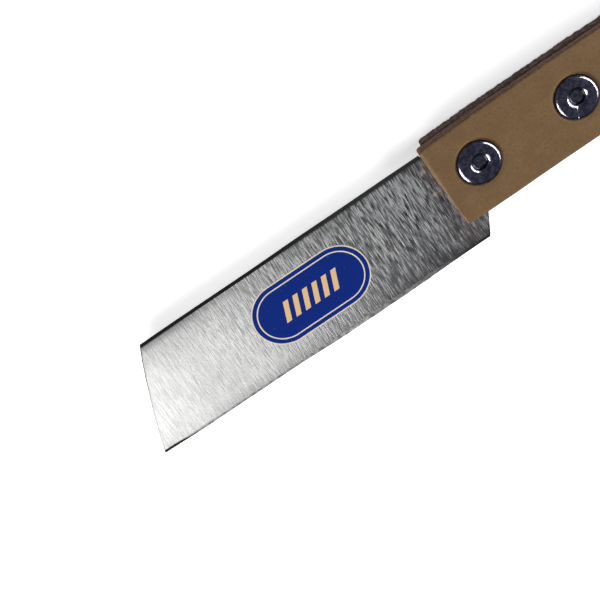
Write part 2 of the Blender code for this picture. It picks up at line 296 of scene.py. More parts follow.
# blade
nearFace = {}    # plane of its broad near side, found when the blade is made
blade = {
    "edgeRound": 0.14 * mm,
    "rimRound": 0.5 * mm,        # along the toe end, the back and the heel
    "roundSteps": 2,
    "roundFrom": 1.0 * mm,       # shorter edges aren't rounded
    "sharpFrom": math.radians(12),
    "joinBelow": math.radians(0.3),       # faces that lie this flat to each other become one
    "flatFrom": 20 * mm * mm,    # faces above this area shade flat
    "flatMatch": 0.9999,
    "onLine": 0.1 * mm,          # what counts as lying on the back or the cutting edge
    "cutStart": 13 * mm,         # from the toe
    "cutPitch": 1.6 * mm,        # spacing of the cuts that let the long edges bend
    "edgeDrop": 0.11 * mm,       # of the cutting edge behind the toe
    "dropStart": (5 * mm, 16 * mm),       # from the toe
    "dropEnd": (-20 * mm, -6 * mm),       # from the front end of the grip
    "dropLost": 0.8,
    "toeLift": 0.28 * mm,        # of the worn toe corner
    "toeWorn": 10 * mm,
    "toeOut": 0.15 * mm,         # of the lower part of the toe end
    "toeOutTop": 0.3,            # share of it higher up
    "toeOutSpan": (9 * mm, 20 * mm),      # above the cutting edge
    "heelOut": 0.15 * mm,
    "heelFrom": 3 * mm,          # from the front end of the grip
    "heelBelow": 4 * mm,         # above the grip's lower edge
    "edgeBow": 0.43 * mm,        # of the worn cutting edge, beyond its straight line
    "bowStart": (-64 * mm, -44 * mm),     # from the front end of the grip
    "bowEnd": (-32 * mm, 4 * mm),
    "edgeNick": 0.13 * mm,
    "nickLength": 2.6 * mm,
    "nickRow": 3.1,              # where the noise is read
    "toeSlope": math.tan(math.radians(20.5)),       # of the toe end
    "toeBow": 0.64 * mm,         # measured along the blade
    "heelSlope": 0.467,
    "heelFoot": 4.65 * mm,       # of the heel end at the cutting edge, from the front end of the grip
    "backFall": 0.24 * mm,       # of the back towards the toe
    "backEnd": (-62 * mm, -40 * mm),
    "backRise": 0.10 * mm,       # of the back beside the grip
    "riseSpan": (-28 * mm, -8 * mm),
    "tipFall": 0.12 * mm,        # of the back's front corner
    "tipSpan": (12 * mm, 24 * mm),
    "broadFacing": 0.9,          # how squarely a face of the broad sides, the back and the ends has to face out
    "backFacing": 0.9,
    "endFacing": 0.5,

    # its steel. Spans are in mm: along, from the front end of the grip (Grip) or from the toe (Toe), and across,
    # up from the cutting edge (Up), from the top (Top) or from the worn back (Back). A span's third and fourth
    # numbers are what it fades between.
    "markTurn": math.radians(6),       # lean of the grinding marks
    "coarse": {"scale": (2700, 210, 210), "shift": (17, 3, 0)},
    "fine": {"scale": (3300, 300, 300), "shift": (6, 12, 0), "lean": 0.8},
    "cuts": {"scale": (3000, 260, 260), "shift": (8, 9, 0)},
    "broad": {"scale": (1250, 150, 150), "shift": (2, 8, 0), "detail": 1.0},
    "clouds": {"scale": 90.0, "detail": 3.0, "rough": 0.5},
    "patches": {"scale": 620.0, "detail": 3.0, "rough": 0.6},
    "patchShift": (0.3, 0.1, 0.0),
    "markDepth": 0.06 * mm,
    "toeDepth": 0.5,                   # share of it that is left at the toe
    "polishGrip": -30,                 # the toe is worn smoother up to here
    "toeMarks": 0.16,                  # share of the marks that is left there
    "toeTone": (0.685, 0.682, 0.668),
    "heelGrip": (-45, -12),            # stronger marks towards the heel
    "heelGain": 0.3,
    "dullGrip": (-42, -20),            # darker steel along the edge near the heel
    "dullEndGrip": (-3, -10, 0.6, 1.0),
    "dullUp": (13.4, 4),
    "dullShift": 0.055,
    "lightened": [(-12.5, 28.4, (10, 3, 0.0, 0.085)), (-22, 26.4, (9, 3, 0.0, 0.05))],       # paler places near the back at the heel
    "markSpan": (0.365, 0.605),
    "markDark": (0.36, 0.363, 0.354),
    "markPale": (0.88, 0.884, 0.852),
    "cutSpan": (0.53, 0.64),           # deep dark marks
    "cutShare": (0.7, 0.16),           # everywhere, and more at the heel
    "cutTone": (0.025, 0.025, 0.026),
    "calmGrip": (-22, -34, 0.0, 0.22),       # fainter marks in the middle and low down
    "calmUp": (14.4, 9.4, 0.0, 0.28),
    "calmTone": (0.50, 0.502, 0.487),
    "calmDull": (0.36, 0.362, 0.352),
    "broadSpan": (0.36, 0.64, 0.0, 0.36),
    "cloudSpan": (0.35, 0.7, 0.0, 0.18),
    "cloudTone": (0.40, 0.397, 0.38),
    "brightEnd": (5, 1.5, 0.0, 0.3),   # painted highlight near the toe end, faded from the toe end
    "brightUp": (1, 3),
    "brightTop": (-3, -9),
    "toeHighlightTone": (0.82, 0.816, 0.80),
    # grime along the back and the cutting edge, with painted shade: broader darker bands beside both edges and a
    # broad darker patch low on the blade
    "backGrime": (-3.0, -0.4, 0.0, 0.5),
    "backShade": (-10, -3.5, 0.0, 0.16),
    "shadeToe": (22, 30, 1.0, 1.8),    # the shade narrows away from the toe
    "grimeShadeToe": 20,                    # both fade from here
    "grimeShadeGrip": -50,                  # to here
    "darkBack": (-6, -1.5, 0.0, 0.24),
    "darkGrip": [(-41, -36), (-22, -30)],
    "edgeUp": (5, 0.5),                # grime and painted shade along the cutting edge
    "edgeToe": (12, 36, 0.1, 0.42),
    "edgeGrip": (-36, -22, 1.0, 1.7),
    "lipUp": (1.3, 0.75),
    "lipToe": (23, 15, 0.0, 0.38),
    "broadShade": (25, 6.4, (14, 4, 0.0, 0.17)),       # painted shade in a broad patch: from the toe, above the cutting edge, and its span
    "grimeShadeTone": (0.15, 0.15, 0.145),
    # a brown stain beside the grip, partly painted shade and a painted reflection of the leather
    "stainGrip": (-8, -1),
    "stainPatch": (0.42, 0.6, 0.0, 0.4),
    "stainShadeTone": (0.17, 0.10, 0.095),
    "rustGrip": (-2.9, -1.0),
    "rustPatch": (0.38, 0.52, 0.15, 0.8),
    "rustUp": [(17.9, 20.4), (32.4, 30.4)],
    "rustTone": (0.105, 0.070, 0.055),
    "paleSpots": [(-1.8, 29.4), (-2.4, 21.4)],     # in the rust
    "paleSpan": (1.1, 0.33),
    "paleShare": (0.55, 0.35),         # everywhere, and more on pale marks
    "paleTone": (0.54, 0.42, 0.36),
    "wearScale": (420, 0, 0),          # the cutting edge is dark at the toe and the heel
    "wearFacing": (-0.1, -0.3),
    "wearToe": (5, 13),
    "wearEnd": (0.7, 0.4),
    "wearSpan": (0.3, 0.5, 0.5, 1.0),
    "wornPatch": (0.40, 0.60),
    "wornDark": (0.155, 0.155, 0.151),
    "wornPale": (0.35, 0.35, 0.341),
    "wornBlack": [((-40, -26, 0.0, 0.42), (0.04, 0.04, 0.04)), ((-18, -4, 0.0, 0.95), (0.03, 0.03, 0.03))],
    "rimFacing": (0.05, 0.25),
    "lineTone": (0.020, 0.020, 0.019),     # of the rims and the lines along them
    "backLine": (-0.50, -0.27),
    "backLineGrip": [(-4, -16, 0.3, 0.62), (-56, -46)],
    "backLineToe": (34, 22, 0.0, 0.7),
    "endLine": (0.42, 0.22, 0.0, 0.25),    # from the toe end
    "endHeight": (0.92, 0.75),             # as a share of the blade's width
    "heelLine": (0.75, 0.35, 0.0, 0.6),    # from the heel end
    "heelLineUp": (7, 3),
    "toeWedge": (15, 3, -0.15, 1.2),       # dark corners of the edge
    "heelWedge": (-9, 3.5, -0.15, 0.85),
    "wedgeSoft": (0.1, -0.1),
    "bareGrip": [(-56, -46), (-5, -9)],    # dull steel along the worn edge
    "bareUp": (0.4, 0.0),
    "barePatch": (0.36, 0.5, 0.4, 1.0),
    "skinFacing": (0.55, 0.8),             # black rolling scale on the back, thinner towards the grip
    "skinGrip": (-60, -20),
    "skinToeTone": (0.030, 0.033, 0.034),
    "skinGripTone": (0.066, 0.068, 0.068),
    "shine": 0.8,
    "wornShine": 0.7,                      # share of it that the worn edge loses
    "rough": {"plain": 0.22, "pale": 0.06, "skin": 0.35, "edge": 0.3},
}


# distances over the blade, in mm, and the height as a share of its width
def measureBlade(finish):
    x, y = finish.axes()[:2]
    finish.fromGrip = (x - gripFront) / mm
    finish.fromToe = (x - bladeLow.x) / mm
    finish.fromEdge = (y - bladeLow.y) / mm
    finish.fromTop = (y - bladeHigh.y) / mm
    finish.height = (y - bladeLow.y) / (bladeHigh.y - bladeLow.y)
    fall = [blade["backEnd"][0] / mm, blade["backEnd"][1] / mm, blade["backFall"] / mm, 0.0]
    finish.fromBack = finish.fromTop + finish.band(finish.fromGrip, *fall)
    out = [blade["toeOutSpan"][0] / mm, blade["toeOutSpan"][1] / mm]
    out += [blade["toeOut"] / mm, blade["toeOut"] * blade["toeOutTop"] / mm]
    bow = finish.height * (1 - finish.height) * (4 * blade["toeBow"] / mm)       # full at half the width
    finish.fromEnd = finish.fromToe - finish.fromEdge * blade["toeSlope"] + bow
    finish.fromEnd = finish.fromEnd + finish.band(finish.fromEdge, *out)
    finish.fromHeel = finish.fromEdge * blade["heelSlope"] - finish.fromGrip + blade["heelFoot"] / mm


# a round place on the blade, given from the front end of the grip and up from the cutting edge
def bladeSpot(finish, along, up, span):
    return finish.band(finish.reach(gripFront + along * mm, bladeLow.y + up * mm), *span)


def grindMarks(finish):
    coarse, fine, cuts, broad = [finish.streaks(blade["markTurn"], **blade[name])
                                 for name in ("coarse", "fine", "cuts", "broad")]
    finish.streaked = coarse * 0.5 + fine * 0.5
    finish.polish = finish.band(finish.fromGrip, (bladeLow.x - gripFront) / mm, blade["polishGrip"])
    heelward = finish.band(finish.fromGrip, *blade["heelGrip"])
    marks = (finish.streaked - 0.5) * (1 + heelward * blade["heelGain"]) + 0.5       # noise lies round 0.5
    dull = finish.band(finish.fromGrip, *blade["dullGrip"]) * finish.band(finish.fromEdge, *blade["dullUp"])
    dull = dull * finish.band(finish.fromGrip, *blade["dullEndGrip"])
    for along, up, span in blade["lightened"]:
        marks = marks + bladeSpot(finish, along, up, span)
    finish.contrast = finish.band(marks - dull * blade["dullShift"], *blade["markSpan"])
    colour = finish.mix(finish.contrast, blade["markDark"], blade["markPale"])
    plainShare, heelShare = blade["cutShare"]
    deep = finish.band(cuts + dull * blade["dullShift"], *blade["cutSpan"]) * (plainShare + heelward * heelShare)
    colour = finish.mix(deep, colour, blade["cutTone"])
    calm = finish.band(finish.fromGrip, *blade["calmGrip"]) + finish.band(finish.fromEdge, *blade["calmUp"])
    colour = finish.mix(calm, colour, finish.mix(dull, blade["calmTone"], blade["calmDull"]))
    left = blade["toeMarks"] + finish.polish * (1 - blade["toeMarks"])
    colour = finish.mix(left, blade["toeTone"], colour)
    toeBroad = finish.band(broad, *blade["broadSpan"]) * (1 - finish.polish)
    colour = finish.mix(toeBroad, colour, blade["cloudTone"])
    clouds = finish.noise(finish.place(), **blade["clouds"])
    return finish.mix(finish.band(clouds, *blade["cloudSpan"]), colour, blade["cloudTone"])


def bladeGrimeAndShade(finish, colour):
    # painted highlight: the steel is made paler near the toe end
    bright = finish.band(finish.fromEnd, *blade["brightEnd"]) * finish.band(finish.fromEdge, *blade["brightUp"])
    bright = bright * finish.band(finish.fromTop, *blade["brightTop"])
    colour = finish.mix(bright, colour, blade["toeHighlightTone"])
    # grime along the back and the cutting edge, with painted shade: broader darker bands beside both edges and a
    # broad darker patch low on the blade
    fromShade = finish.fromBack * finish.band(finish.fromToe, *blade["shadeToe"])
    grimeAndShade = finish.band(finish.fromBack, *blade["backGrime"]) + finish.band(fromShade, *blade["backShade"])
    fadeEnd = (gripFront - bladeLow.x) / mm + blade["grimeShadeGrip"]
    grimeAndShade = grimeAndShade * finish.band(finish.fromToe, blade["grimeShadeToe"], fadeEnd, 1.0, 0.0)
    dark = finish.band(finish.fromBack, *blade["darkBack"])
    for span in blade["darkGrip"]:
        dark = dark * finish.band(finish.fromGrip, *span)
    low = finish.band(finish.fromEdge, *blade["edgeUp"]) * finish.band(finish.fromToe, *blade["edgeToe"])
    low = low * finish.band(finish.fromGrip, *blade["edgeGrip"])
    lip = finish.band(finish.fromEdge, *blade["lipUp"]) * finish.band(finish.fromToe, *blade["lipToe"])
    along, up, span = blade["broadShade"]
    broadShade = bladeSpot(finish, along + (bladeLow.x - gripFront) / mm, up, span)
    return finish.mix(grimeAndShade + dark + low + lip + broadShade, colour, blade["grimeShadeTone"])


def gripRust(finish, colour):
    # brown stain beside the grip, partly painted shade and a painted reflection of the leather
    stainAndShade = finish.band(finish.fromGrip, *blade["stainGrip"]) * finish.band(finish.patches, *blade["stainPatch"])
    colour = finish.mix(stainAndShade, colour, blade["stainShadeTone"])
    rust = finish.band(finish.fromGrip, *blade["rustGrip"]) * finish.band(finish.patches, *blade["rustPatch"])
    for span in blade["rustUp"]:
        rust = rust * finish.band(finish.fromEdge, *span)
    colour = finish.mix(rust, colour, blade["rustTone"])
    plainShare, markShare = blade["paleShare"]
    for along, up in blade["paleSpots"]:
        pale = bladeSpot(finish, along, up, blade["paleSpan"]) * (plainShare + finish.contrast * markShare)
        colour = finish.mix(pale, colour, blade["paleTone"])
        rust = rust + pale
    finish.rust = rust
    return colour


def darkLines(finish):
    backLine = finish.band(finish.fromBack, *blade["backLine"])
    nearGrip, behindToe = [finish.band(finish.fromGrip, *span) for span in blade["backLineGrip"]]
    backLine = backLine * nearGrip * (behindToe + finish.band(finish.fromToe, *blade["backLineToe"]))
    endLine = finish.band(finish.fromEnd, *blade["endLine"]) * finish.band(finish.height, *blade["endHeight"])
    heelLine = finish.band(finish.fromHeel, *blade["heelLine"])
    heelLine = heelLine * finish.band(finish.fromEdge, *blade["heelLineUp"])
    toeWedge = finish.band(finish.fromToe, *blade["toeWedge"])
    heelWedge = finish.band(finish.fromGrip, *blade["heelWedge"])
    corner = finish.band(finish.fromEdge - toeWedge, *blade["wedgeSoft"])
    corner = corner + finish.band(finish.fromEdge - heelWedge, *blade["wedgeSoft"])
    return [backLine, endLine, heelLine, corner]


def groundSteel():
    finish = Finish("groundSteel")
    measureBlade(finish)
    faceX, faceY = finish.facing()[:2]
    finish.patches = finish.noise(finish.place(shift=blade["patchShift"]), **blade["patches"])
    colour = gripRust(finish, bladeGrimeAndShade(finish, grindMarks(finish)))
    wear = finish.noise(finish.place(scale=blade["wearScale"]), rough=0.6)
    edgeWear = finish.band(faceY, *blade["wearFacing"]) * finish.band(finish.fromToe, *blade["wearToe"])
    edgeWear = edgeWear * finish.band(faceX, *blade["wearEnd"]) * finish.band(wear, *blade["wearSpan"])
    worn = finish.mix(finish.band(finish.patches, *blade["wornPatch"]), blade["wornDark"], blade["wornPale"])
    for span, tone in blade["wornBlack"]:
        worn = finish.mix(finish.band(finish.fromGrip, *span), worn, tone)
    colour = finish.mix(edgeWear, colour, worn)
    rim = finish.band(faceX * faceX + faceY * faceY, *blade["rimFacing"]) * (1 - edgeWear)
    for line in [rim] + darkLines(finish):
        colour = finish.mix(line, colour, blade["lineTone"])
    bare = finish.band(finish.fromEdge, *blade["bareUp"]) * finish.band(finish.patches, *blade["barePatch"])
    for span in blade["bareGrip"]:
        bare = bare * finish.band(finish.fromGrip, *span)
    colour = finish.mix(bare, colour, worn)
    skin = finish.band(faceY, *blade["skinFacing"])
    thin = finish.band(finish.fromGrip, *blade["skinGrip"])
    colour = finish.mix(skin, colour, finish.mix(thin, blade["skinToeTone"], blade["skinGripTone"]))
    rough = blade["rough"]
    rough = rough["plain"] + finish.contrast * rough["pale"] + skin * rough["skin"] + edgeWear * rough["edge"]
    metal = (1 - skin) * (1 - rim) * (1 - bare) * (1 - edgeWear * blade["wornShine"])
    metal = metal * finish.band(finish.rust, 1.0, 0.0) * blade["shine"]
    depth = blade["toeDepth"] + finish.polish * (1 - blade["toeDepth"])
    normal = finish.bump(finish.streaked * depth, blade["markDepth"])
    return finish.shader(Base_Color=colour, Metallic=metal, Roughness=rough, Normal=normal, Specular_IOR_Level=0.0)


# how far the worn cutting edge lies above its straight line, and the toe corner's part in that
def edgeShift(x, fromToe, fromGrip):
    bow = ease(fromGrip, *blade["bowStart"]) * (1 - ease(fromGrip, *blade["bowEnd"]))
    nick = noise.noise(Vector((x / blade["nickLength"], blade["nickRow"], 0.0))) * blade["edgeNick"]
    lift = blade["toeLift"] * (1 - ease(fromToe, 0.0, blade["toeWorn"]))
    drop = blade["edgeDrop"] * ease(fromToe, *blade["dropStart"])
    drop *= 1 - blade["dropLost"] * ease(fromGrip, *blade["dropEnd"])
    return lift + (nick - blade["edgeBow"]) * bow - drop, lift


# how far the worn back lies above its straight line
def backShift(fromToe, fromGrip):
    shift = -blade["backFall"] * (1 - ease(fromGrip, *blade["backEnd"]))
    shift += blade["backRise"] * ease(fromGrip, *blade["riseSpan"])
    return shift - blade["tipFall"] * (1 - ease(fromToe, *blade["tipSpan"]))


def wearEdges(shape):
    for index in range(int((gripFront - bladeLow.x - blade["cutStart"]) / blade["cutPitch"]) + 2):
        spot = (bladeLow.x + blade["cutStart"] + index * blade["cutPitch"], 0, 0)
        bmesh.ops.bisect_plane(shape, geom=[*shape.verts, *shape.edges, *shape.faces], dist=mergeGap,
                               plane_co=spot, plane_no=(1, 0, 0))
    slope = -nearFace["normal"].y / nearFace["normal"].z
    for vert in shape.verts:
        fromGrip, fromToe = vert.co.x - gripFront, vert.co.x - bladeLow.x
        height = vert.co.y - bladeLow.y
        shift = 0.0
        if fromToe - height * blade["toeSlope"] < blade["onLine"] / 2:       # the toe end
            vert.co.x -= blade["toeOut"] * (1 - (1 - blade["toeOutTop"]) * ease(height, *blade["toeOutSpan"]))
        elif fromGrip > blade["heelFrom"] and vert.co.y < nearLow.y + blade["heelBelow"]:       # the heel end
            vert.co.x += blade["heelOut"]
        if height < blade["onLine"]:
            shift, lift = edgeShift(vert.co.x, fromToe, fromGrip)
            vert.co.x += lift * blade["toeSlope"]
        elif vert.co.y > bladeHigh.y - blade["onLine"] and fromGrip < 0:
            shift = backShift(fromToe, fromGrip)
        vert.co.y += shift
        vert.co.z += math.copysign(slope * shift, vert.co.z - middleZ)


# the toe end, the heel and the back, where they meet a broad side
def onRim(edge):
    return all(abs(face.normal.x) > blade["endFacing"] or face.normal.y > blade["backFacing"]
               or abs(face.normal.z) > blade["broadFacing"] for face in edge.link_faces)


def sharpEdges(shape):
    return [edge for edge in shape.edges if edge.calc_face_angle(0.0) > blade["sharpFrom"]]


def roundEdges(shape, edges, radius):
    bmesh.ops.bevel(shape, geom=edges, offset=radius, offset_type="OFFSET", affect="EDGES",
                    segments=blade["roundSteps"], profile=0.5, material=-1, clamp_overlap=True)


def makeBlade():
    shape = nodeShape("blade")
    bmesh.ops.dissolve_limit(shape, angle_limit=blade["joinBelow"], verts=shape.verts, edges=shape.edges)
    nearFaces = [face for face in shape.faces if face.normal.z > blade["broadFacing"]]
    broad = max(nearFaces, key=lambda face: face.calc_area())
    nearFace["centre"] = broad.calc_center_median()
    nearFace["normal"] = broad.normal.copy()
    sides = [face.normal.copy() for face in shape.faces if face.calc_area() > blade["flatFrom"]]
    wearEdges(shape)
    roundEdges(shape, [edge for edge in sharpEdges(shape) if onRim(edge)], blade["rimRound"])
    longEdges = [edge for edge in sharpEdges(shape) if edge.calc_length() > blade["roundFrom"]]
    roundEdges(shape, longEdges, blade["edgeRound"])
    bmesh.ops.triangulate(shape, faces=shape.faces)
    piece = makePiece(shape, "bladeSteel", groundSteel(), "ground_steel", "blade")
    for face in piece.data.polygons:       # broad faces shade flat up to their rounded rims
        face.use_smooth = max(face.normal.dot(side) for side in sides) < blade["flatMatch"]
    print("blade:", len(piece.data.polygons), "faces")


# plain printed panel on the near face: a blue pill with two fine lines and slanted strokes
panel = {
    "fromGrip": 48.4 * mm,    # its middle, measured from the front end of the grip
    "belowRivets": 6.7 * mm,
    "length": 38.5 * mm,
    "width": 20 * mm,
    "line": 0.38 * mm,
    "lineInset": 1.7 * mm,
    "strokes": 6,
    "stroke": (1.7 * mm, 6.4 * mm),
    "strokePitch": 3.3 * mm,
    "strokeLean": 0.36,
    "film": 0.02 * mm,
    "sunk": 0.005 * mm,       # of the film's underside in the steel
    "marksLevel": 0.6,        # of the marks' underside, as a share of the blue film
    "roundSteps": 96,
    "sharpFrom": math.radians(30),
    "blue": (0.0015, 0.0190, 0.185),
    "cream": (0.74, 0.495, 0.245),
    "linePale": (0.75, 0.66, 0.50),       # the two lines are paler than the strokes
    "lineFrom": (0.42, 0.46),
    "speckScale": 1600.0,
    "speckSpan": (0.62, 0.75, 0.0, 0.2),
    "speckTone": (0.30, 0.31, 0.34),
    "weave": (1900, 190, 190),            # of the steel's marks under the ink
    "weaveDepth": 0.02 * mm,
    "weaveStrength": 0.3,
    "rough": (0.55, 0.15),                # plain, and more in the specks
    "gloss": 0.08,
}


def printInk(name, shade, lineShade=None):
    finish = Finish(name)
    if lineShade:
        x, y = finish.axes()[:2]
        across = y - rivetCentres[0].y + panel["belowRivets"]
        along = x - gripFront + panel["fromGrip"]
        reach = (across * across) / panel["stroke"][1] ** 2
        reach = reach + (along * along) / (panel["strokePitch"] * panel["strokes"]) ** 2
        shade = finish.mix(finish.band(reach, *panel["lineFrom"]), shade, lineShade)
    specks = finish.noise(finish.place(), panel["speckScale"], rough=0.6)
    colour = finish.mix(finish.band(specks, *panel["speckSpan"]), shade, panel["speckTone"])
    plainRough, speckRough = panel["rough"]
    weave = finish.noise(finish.place(scale=panel["weave"]))
    normal = finish.bump(weave, panel["weaveDepth"], panel["weaveStrength"])
    return finish.shader(Base_Color=colour, Roughness=plainRough + specks * speckRough, Normal=normal,
                         Specular_IOR_Level=panel["gloss"])


def pill(shape, length, width):
    ring = bmesh.ops.create_circle(shape, cap_ends=True, segments=panel["roundSteps"], radius=width / 2)["verts"]
    for vert in ring:
        vert.co.x += math.copysign((length - width) / 2, vert.co.x)
    return list({face for vert in ring for face in vert.link_faces})


def layFilm(shape, level, pieceName, material, slotName):
    lifted = bmesh.ops.extrude_face_region(shape, geom=shape.faces[:])["geom"]
    bmesh.ops.translate(shape, verts=[item for item in lifted if isinstance(item, bmesh.types.BMVert)],
                        vec=(0, 0, panel["film"]))
    bmesh.ops.recalc_face_normals(shape, faces=shape.faces)
    bmesh.ops.translate(shape, verts=shape.verts, vec=(0, 0, level))
    middle = Vector((gripFront - panel["fromGrip"], rivetCentres[0].y - panel["belowRivets"], 0.0))
    middle.z -= (middle - nearFace["centre"]).dot(nearFace["normal"]) / nearFace["normal"].z
    across = nearFace["normal"].cross(Vector((1, 0, 0))).normalized()
    along = across.cross(nearFace["normal"])
    turn = Matrix((along, across, nearFace["normal"])).transposed().to_4x4()
    bmesh.ops.transform(shape, matrix=Matrix.Translation(middle) @ turn, verts=shape.verts)
    piece = makePiece(shape, pieceName, material, slotName)
    piece.data.set_sharp_from_angle(angle=panel["sharpFrom"])


def makePanel():
    blueInk = printInk("blueInk", panel["blue"])
    creamInk = printInk("creamInk", panel["cream"], panel["linePale"])
    field = bmesh.new()
    pill(field, panel["length"], panel["width"])
    layFilm(field, -panel["sunk"], "panelField", blueInk, "blue_print")
    marks = bmesh.new()
    for inset in (0.0, panel["lineInset"]):
        faces = pill(marks, panel["length"] - 2 * inset, panel["width"] - 2 * inset)
        bmesh.ops.inset_region(marks, faces=faces, thickness=panel["line"], use_boundary=True,
                               use_even_offset=True)
        bmesh.ops.delete(marks, geom=faces, context="FACES_ONLY")
    for index in range(panel["strokes"]):
        bar = bmesh.ops.create_grid(marks, x_segments=1, y_segments=1, size=0.5)["verts"]
        bmesh.ops.scale(marks, verts=bar, vec=(*panel["stroke"], 1))
        along = (index - (panel["strokes"] - 1) / 2) * panel["strokePitch"]
        for vert in bar:
            vert.co.x += vert.co.y * panel["strokeLean"] + along
    level = panel["film"] * panel["marksLevel"] - panel["sunk"]
    layFilm(marks, level, "panelMarks", creamInk, "cream_print")
    print("printed panel laid")


# leather scales
leather = {
    "voxel": 0.35 * mm,
    "smoothings": 3,
    "edgeWave": 0.14 * mm,
    "faceWave": 0.06 * mm,
    "waveLength": 11 * mm,
    "waveRow": 7,            # where the noise is read, plus or minus for the two scales
    "puff": 0.14 * mm,       # leather pushed up round a rivet
    "puffWidth": 2.4 * mm,
    "puffRadius": 8.6 * mm,
    "press": 0.15 * mm,      # of the leather against each ring
    "pressFrom": 6.5 * mm,
    "pressSpan": (7.2 * mm, 9.0 * mm),
    "pressDepth": 1 * mm,    # below the near face, where the leather follows a ring fully
    "fuzz": 0.28 * mm,       # of the upper cut edges
    "fuzzLength": 0.9 * mm,
    "rim": (6 * mm, 1 * mm),             # depth over which a moved edge draws the face along
    "frontRise": 0.30 * mm,  # of the near scale's upper edge at the front
    "frontRiseSpan": (0.0, 8 * mm),      # from the front end of the grip
    "frontRiseLow": 0.6,
    "topRise": 0.72 * mm,    # and behind the front rivet
    "riseSpan": (14 * mm, 42 * mm),
    "riseEnd": (60 * mm, 90 * mm),
    "seamRise": 0.12 * mm,   # of its upper edge at the seam
    "farDip": 0.15 * mm,     # of the far scale's upper edge over the front rivet
    "dipMiddle": 19 * mm,
    "dipWidth": 9 * mm,
    "farSwell": 0.0675 * mm,     # and its rise behind that
    "swellSpan": (30 * mm, 38 * mm),
    "frontSag": 0.32 * mm,   # of the near scale's lower edge beside the front rivet
    "sagMiddle": 10 * mm,
    "sagWidth": 17 * mm,
    "frontSkew": (0.29 * mm, -0.33 * mm),      # of the near scale's front end, below and above
    "skewSpan": (2 * mm, 16 * mm),       # above its lower edge
    "skewDepth": 7 * mm,
    "outerFacing": 0.5,      # from which a face counts as the outer one

    # their finish. Lengths are in mm: along from the front end of the grip, across from the knife's middle line,
    # and up from the blade's middle plane.
    "pores": 1900.0,
    "grain": {"scale": 1500.0, "detail": 4.0, "rough": 0.6},
    "mottle": {"scale": 160.0, "detail": 4.0, "rough": 0.6},
    "fibres": (260, 260, 3200),
    "flecks": (950, 950, 430),
    "fleckShift": (4, 2, 0),
    "mottleSpan": (0.3, 0.7),
    "faceDark": (0.166, 0.0975, 0.042),
    "facePale": (0.190, 0.1125, 0.050),
    "grainSpan": (0.45, 0.70, 0.0, 0.6),
    "grainTone": (0.115, 0.070, 0.031),
    "fibreSpan": (0.35, 0.65),
    "sideDark": (0.124, 0.066, 0.037),
    "sidePale": (0.198, 0.104, 0.061),
    "farUp": (0.5, -0.5, 0.0, 0.6),
    "farTone": (0.142, 0.104, 0.092),
    "uprightFacing": (0.96, 0.4),
    "frontFacing": (-0.25, -0.8),
    "frontTone": (0.26, 0.17, 0.105),
    "frayed": (1.1, 0.5),                # pale line along the cut front end
    "frayBack": (-5, -8, 0.0, 0.4),      # how far it sets back, by place across
    "frayAcross": [(-6, -2, 1.0, 0.65), (16, 5, 0.5, 1.0)],
    "frayGrain": (0.3, 0.55, 0.45, 0.95),
    "frayTone": (0.38, 0.24, 0.145),
    # painted shadow along the seam between the two scales
    "seamUp": -0.2,
    "seamShadowSpan": (1.3, 0.4),
    "seamShadowTone": (0.070, 0.036, 0.023),
    "fleckSpan": (0.42, 0.58),
    "fleckUp": (1.2, -0.2, 0.35, 0.68),  # dark flecks, more on the far scale
    "fleckTone": (0.030, 0.018, 0.013),
    "litRingReach": (7.9, 7.1, 0.0, 0.6),     # painted light: a paler ring on the face round each rivet, against the shade of the dent
    "litRingTone": (0.27, 0.172, 0.088),
    "creaseShadeReach": (7.0, 6.7, 0.0, 0.5),      # painted shade in the dent round each rivet, where the leather meets the ring
    "grimeShadeTone": (0.012, 0.009, 0.008),
    "rough": (0.62, 0.18),
    "gloss": 0.2,
    "grainShare": 0.6,       # of the grain and the pores in the bumps of the face
    "poreShare": 0.5,
    "grainBump": (0.05 * mm, 0.45),      # depth and strength
    "fibreBump": (0.08 * mm, 0.5),
}


